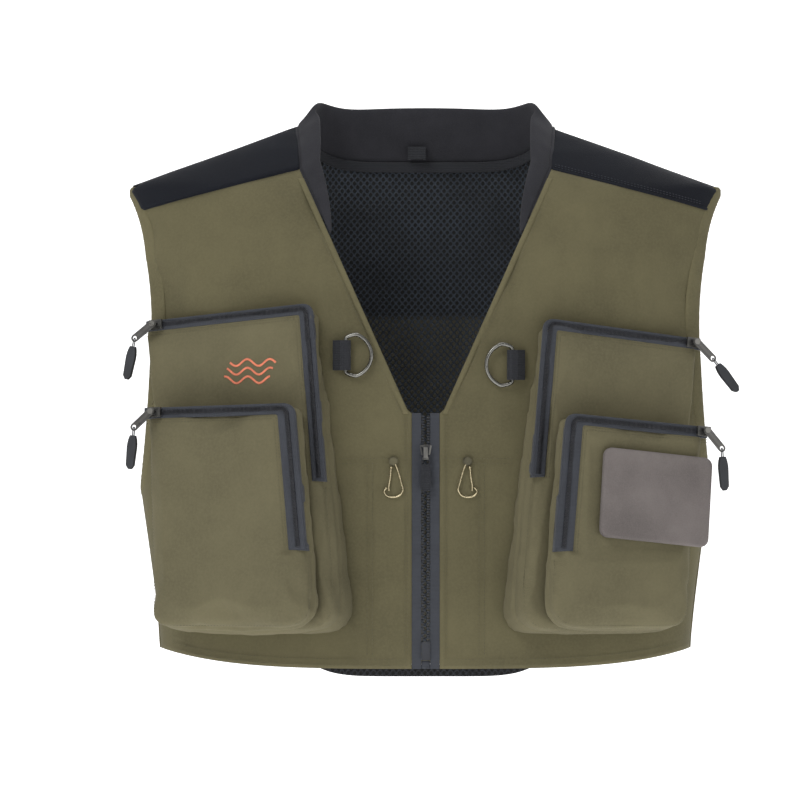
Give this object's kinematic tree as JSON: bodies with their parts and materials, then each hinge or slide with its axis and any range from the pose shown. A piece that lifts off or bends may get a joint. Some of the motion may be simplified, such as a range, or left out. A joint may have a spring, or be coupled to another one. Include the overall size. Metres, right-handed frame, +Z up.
{
  "type": "fishing vest",
  "caption": "Zip-front fishing vest in olive fabric with dark yokes, a padded collar, stacked bellows pockets, D-rings, wire snap hooks and a pull-off fly patch.",
  "frame": {"origin": "the middle of the hang loop sewn inside the back of the collar", "axes": "+X towards the wearer's left across the vest, +Y towards the vest's back, +Z up"},
  "size_m": [0.5793, 0.3018, 0.5505],
  "materials": {
    "olive_fabric": "matte woven nylon",
    "pocket_fabric": "matte woven nylon",
    "yoke_fabric": "matte woven nylon",
    "collar_fabric": "brushed knit",
    "mesh_lining": "open mesh",
    "binding_tape": "folded tape",
    "zip_tape": "woven tape",
    "zip_coil": "moulded",
    "dark_metal": "painted",
    "pull_rubber": "matte",
    "nickel": "polished",
    "hook_wire": "drawn wire",
    "webbing": "woven webbing",
    "patch_foam": "felted foam"
  },
  "bodies": {
    "vest": {"back_yoke": "yoke_fabric", "back_panel": "olive_fabric", "back_hem_band": "mesh_lining", "back_lining": "mesh_lining", "collar": "collar_fabric", "hang_loop": "webbing", "front_zip_box": "dark_metal", "front_panel_left": "olive_fabric", "shoulder_yoke_left": "yoke_fabric", "armhole_binding_left": "binding_tape", "front_zip_tape_left": "zip_tape", "front_zip_teeth_left": "zip_coil", "d_ring_tab_left": "webbing", "hook_anchor_left": "dark_metal", "large_pocket_left_walls": "pocket_fabric", "large_pocket_left_front": "pocket_fabric", "large_pocket_left_zip_tape": "zip_tape", "large_pocket_left_zip_coil": "zip_coil", "small_pocket_left_walls": "pocket_fabric", "small_pocket_left_front": "pocket_fabric", "small_pocket_left_zip_tape": "zip_tape", "small_pocket_left_zip_coil": "zip_coil", "front_panel_right": "olive_fabric", "shoulder_yoke_right": "yoke_fabric", "armhole_binding_right": "binding_tape", "front_zip_tape_right": "zip_tape", "front_zip_teeth_right": "zip_coil", "d_ring_tab_right": "webbing", "hook_anchor_right": "dark_metal", "large_pocket_right_walls": "pocket_fabric", "large_pocket_right_front": "pocket_fabric", "large_pocket_right_zip_tape": "zip_tape", "large_pocket_right_zip_coil": "zip_coil", "small_pocket_right_walls": "pocket_fabric", "small_pocket_right_front": "pocket_fabric", "small_pocket_right_zip_tape": "zip_tape", "small_pocket_right_zip_coil": "zip_coil", "fly_patch_backing": "webbing"},
    "front_zip_slider": {"front_zip_slider": "dark_metal"},
    "front_zip_pull": {"front_zip_pull": "webbing"},
    "large_pocket_left_slider": {"large_pocket_left_slider": "dark_metal"},
    "large_pocket_left_puller": {"large_pocket_left_puller": "dark_metal"},
    "large_pocket_left_pull_tip": {"large_pocket_left_pull_tip": "pull_rubber"},
    "small_pocket_left_slider": {"small_pocket_left_slider": "dark_metal"},
    "small_pocket_left_puller": {"small_pocket_left_puller": "dark_metal"},
    "small_pocket_left_pull_tip": {"small_pocket_left_pull_tip": "pull_rubber"},
    "d_ring_left": {"d_ring_left": "nickel"},
    "snap_hook_left": {"snap_hook_left": "hook_wire"},
    "snap_hook_gate_left": {"snap_hook_gate_left": "hook_wire"},
    "large_pocket_right_slider": {"large_pocket_right_slider": "dark_metal"},
    "large_pocket_right_puller": {"large_pocket_right_puller": "dark_metal"},
    "large_pocket_right_pull_tip": {"large_pocket_right_pull_tip": "pull_rubber"},
    "small_pocket_right_slider": {"small_pocket_right_slider": "dark_metal"},
    "small_pocket_right_puller": {"small_pocket_right_puller": "dark_metal"},
    "small_pocket_right_pull_tip": {"small_pocket_right_pull_tip": "pull_rubber"},
    "d_ring_right": {"d_ring_right": "nickel"},
    "snap_hook_right": {"snap_hook_right": "hook_wire"},
    "snap_hook_gate_right": {"snap_hook_gate_right": "hook_wire"},
    "fly_patch": {"fly_patch": "patch_foam"}
  },
  "joints": [
    {"name": "front_zip_slide", "type": "slide", "parent": "vest", "child": "front_zip_slider", "axis": [0, 0, 1], "range_m": [-0.165, 0.025]},
    {"name": "front_pull_swing", "type": "hinge", "parent": "front_zip_slider", "child": "front_zip_pull", "pos_m": [0.008, -0.16449, -0.29092], "axis": [-1, 0, 0], "range_deg": [0, 140]},
    {"name": "large_pocket_left_zip_slide", "type": "slide", "parent": "vest", "child": "large_pocket_left_slider", "axis": [0.9246, 0.3625, -0.1175], "range_m": [-0.12, 0]},
    {"name": "large_pocket_left_puller_swing", "type": "hinge", "parent": "large_pocket_left_slider", "child": "large_pocket_left_puller", "pos_m": [0.26273, -0.12942, -0.18344], "axis": [-0.3732, 0.9237, -0.0872], "range_deg": [-40, 40]},
    {"name": "large_pocket_left_tip_swing", "type": "hinge", "parent": "large_pocket_left_puller", "child": "large_pocket_left_pull_tip", "pos_m": [0.27766, -0.12485, -0.19894], "axis": [-0.3732, 0.9237, -0.0872], "range_deg": [-25, 25]},
    {"name": "small_pocket_left_zip_slide", "type": "slide", "parent": "vest", "child": "small_pocket_left_slider", "axis": [0.9264, 0.3658, -0.0896], "range_m": [-0.115, 0]},
    {"name": "small_pocket_left_puller_swing", "type": "hinge", "parent": "small_pocket_left_slider", "child": "small_pocket_left_puller", "pos_m": [0.27094, -0.16648, -0.26709], "axis": [-0.3732, 0.9237, -0.0872], "range_deg": [-40, 40]},
    {"name": "small_pocket_left_tip_swing", "type": "hinge", "parent": "small_pocket_left_puller", "child": "small_pocket_left_pull_tip", "pos_m": [0.2846, -0.16254, -0.28388], "axis": [-0.3732, 0.9237, -0.0872], "range_deg": [-25, 25]},
    {"name": "d_ring_left_swing", "type": "hinge", "parent": "vest", "child": "d_ring_left", "pos_m": [0.08853, -0.16074, -0.20592], "axis": [0, 0, 1], "range_deg": [0, 135]},
    {"name": "snap_hook_left_swing", "type": "hinge", "parent": "vest", "child": "snap_hook_left", "pos_m": [0.04713, -0.16156, -0.29592], "axis": [-0.05, 0.9987, 0], "range_deg": [-35, 35]},
    {"name": "snap_hook_left_gate_swing", "type": "hinge", "parent": "snap_hook_left", "child": "snap_hook_gate_left", "pos_m": [0.04933, -0.16145, -0.30192], "axis": [-0.05, 0.9987, 0], "range_deg": [0, 18], "stiffness_Nm_per_rad": 0.002},
    {"name": "large_pocket_right_zip_slide", "type": "slide", "parent": "vest", "child": "large_pocket_right_slider", "axis": [-0.9262, 0.3654, -0.0934], "range_m": [-0.12, 0]},
    {"name": "large_pocket_right_puller_swing", "type": "hinge", "parent": "large_pocket_right_slider", "child": "large_pocket_right_puller", "pos_m": [-0.24876, -0.12538, -0.16645], "axis": [0.3732, 0.9237, -0.0872], "range_deg": [-40, 40]},
    {"name": "large_pocket_right_tip_swing", "type": "hinge", "parent": "large_pocket_right_puller", "child": "large_pocket_right_pull_tip", "pos_m": [-0.26528, -0.11998, -0.17995], "axis": [0.3732, 0.9237, -0.0872], "range_deg": [-25, 25]},
    {"name": "small_pocket_right_zip_slide", "type": "slide", "parent": "vest", "child": "small_pocket_right_slider", "axis": [-0.9277, 0.3724, -0.026], "range_m": [-0.115, 0]},
    {"name": "small_pocket_right_puller_swing", "type": "hinge", "parent": "small_pocket_right_slider", "child": "small_pocket_right_puller", "pos_m": [-0.24886, -0.16564, -0.24933], "axis": [0.3732, 0.9237, -0.0872], "range_deg": [-40, 40]},
    {"name": "small_pocket_right_tip_swing", "type": "hinge", "parent": "small_pocket_right_puller", "child": "small_pocket_right_pull_tip", "pos_m": [-0.2645, -0.1607, -0.26399], "axis": [0.3732, 0.9237, -0.0872], "range_deg": [-25, 25]},
    {"name": "d_ring_right_swing", "type": "hinge", "parent": "vest", "child": "d_ring_right", "pos_m": [-0.06648, -0.16136, -0.19692], "axis": [0, 0, -1], "range_deg": [0, 150]},
    {"name": "snap_hook_right_swing", "type": "hinge", "parent": "vest", "child": "snap_hook_right", "pos_m": [-0.0221, -0.16196, -0.29592], "axis": [0.0374, 0.9993, 0], "range_deg": [-35, 35]},
    {"name": "snap_hook_right_gate_swing", "type": "hinge", "parent": "snap_hook_right", "child": "snap_hook_gate_right", "pos_m": [-0.0243, -0.16188, -0.30192], "axis": [-0.0374, -0.9993, 0], "range_deg": [0, 18], "stiffness_Nm_per_rad": 0.002},
    {"name": "fly_patch_pull_off", "type": "slide", "parent": "vest", "child": "fly_patch", "axis": [0.3732, -0.9237, 0.0872], "range_m": [0, 0.03]}
  ]
}
